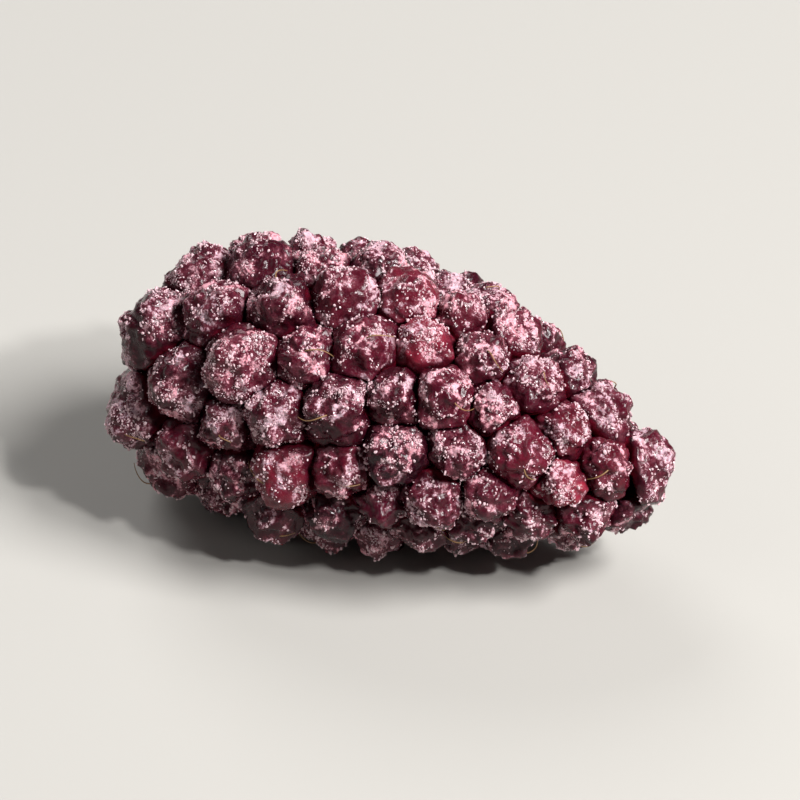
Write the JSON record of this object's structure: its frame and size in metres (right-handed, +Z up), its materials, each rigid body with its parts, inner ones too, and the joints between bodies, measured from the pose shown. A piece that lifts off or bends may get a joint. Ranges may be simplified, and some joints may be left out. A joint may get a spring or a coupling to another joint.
{
  "type": "bramble berry",
  "caption": "Elongated bramble berry lying on its side: a head of drupelets grown together round a pale receptacle end at the stem side.",
  "frame": {"origin": "on the surface that the berry rests on, under the middle of its bounding box", "axes": "+X along the berry from the stem end to the tip, +Z up from the surface that it rests on"},
  "size_m": [0.029, 0.0166, 0.016],
  "materials": {
    "drupelet_skin": "thin glossy wine-dark fruit skin under a bloom of frost",
    "receptacle_pith": "matt pale green-cream fibrous pith",
    "dried_style": "matt tan-brown dried plant hair",
    "frost": "small translucent white ice grains"
  },
  "bodies": {
    "root": {"drupelets": "drupelet_skin", "receptacle": "receptacle_pith"}
  },
  "joints": []
}
